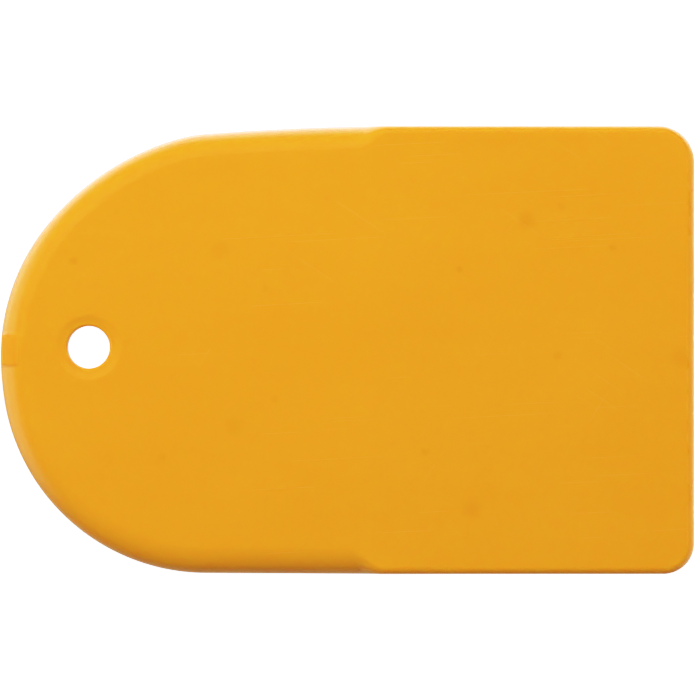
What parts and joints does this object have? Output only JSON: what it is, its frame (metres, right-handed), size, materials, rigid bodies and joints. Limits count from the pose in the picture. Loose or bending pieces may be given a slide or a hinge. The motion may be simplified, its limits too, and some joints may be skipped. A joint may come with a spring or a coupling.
{
  "type": "squeegee applicator",
  "caption": "Moulded plastic squeegee card with a thick rounded grip end, a hang hole and a blade tapering to a straight working edge.",
  "frame": {"origin": "under the middle of the bounding box, on the plane of the grip's back face", "axes": "+X along the card from the round tip to the working edge, +Y across the blade, +Z out of the front face"},
  "size_m": [0.0984, 0.0636, 0.0063],
  "materials": {
    "body_plastic": "semi-gloss moulded plastic, deep yellow-orange, coloured right through"
  },
  "bodies": {
    "root": {"squeegee_body": "body_plastic"}
  },
  "joints": []
}
